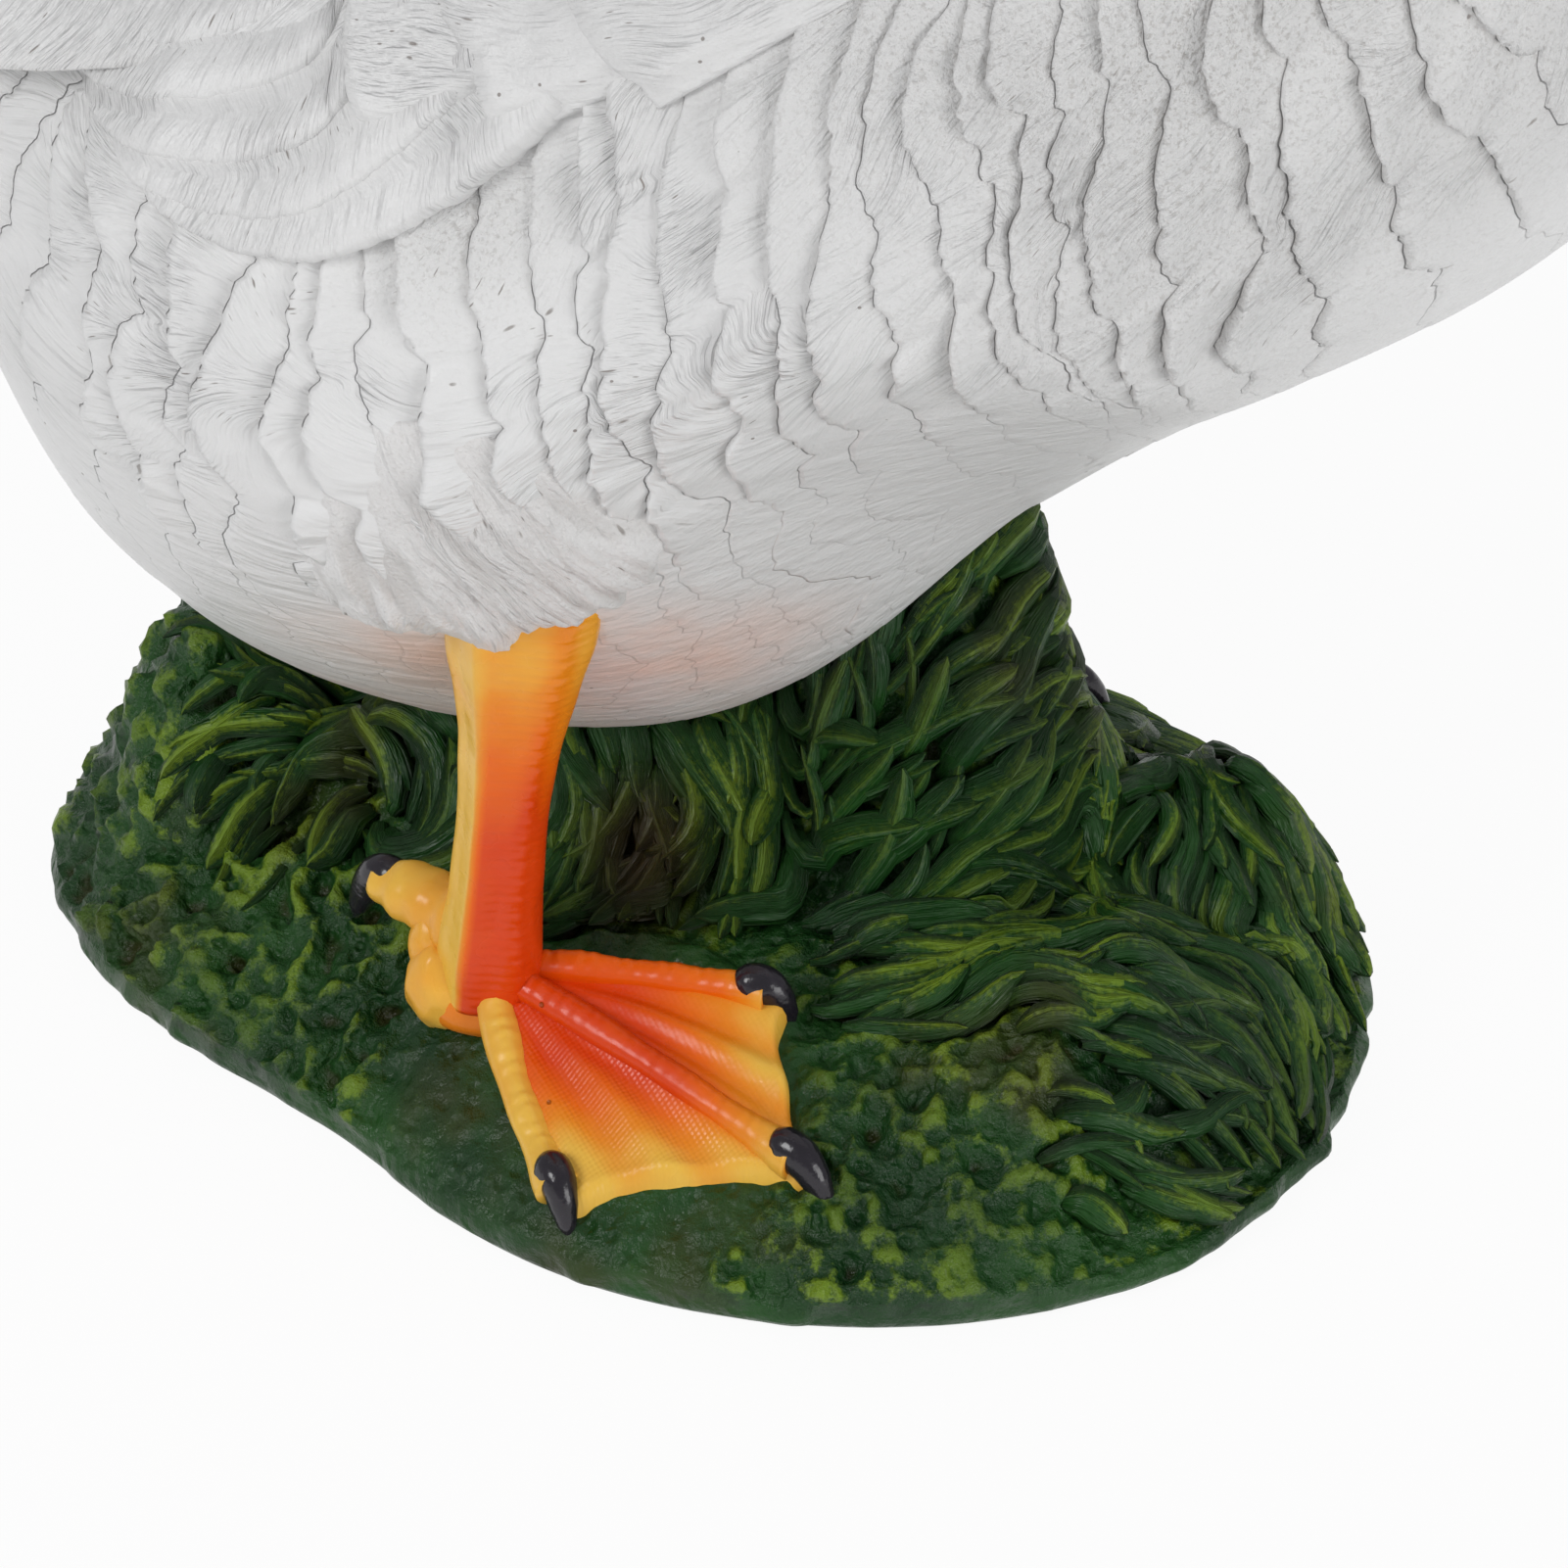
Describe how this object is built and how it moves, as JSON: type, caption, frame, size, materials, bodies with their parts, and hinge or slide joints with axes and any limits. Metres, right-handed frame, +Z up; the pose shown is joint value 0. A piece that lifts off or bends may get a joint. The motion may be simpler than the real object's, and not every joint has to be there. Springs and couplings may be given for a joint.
{
  "type": "goose statue",
  "caption": "Free-standing painted goose figurine in cast resin, with carved feathers, webbed feet and a grassy mound with a flat underside.",
  "frame": {"origin": "middle of the flat underside of the grassy mound", "axes": "+Z up; the goose faces -Y and its right side is at -X"},
  "size_m": [0.1263, 0.3254, 0.3368],
  "materials": {
    "white_plumage_paint": "hand-brushed white paint on cast resin, semi-gloss, with a grey-brown wash in the crevices",
    "orange_leg_paint": "glossy paint blended from yellow-orange edges to orange-red",
    "grass_green_paint": "dark green paint dry-brushed with yellow-green on the ridges",
    "black_claw_paint": "glossy near-black paint"
  },
  "bodies": {
    "root": {"goose_statue": "white_plumage_paint"}
  },
  "joints": []
}
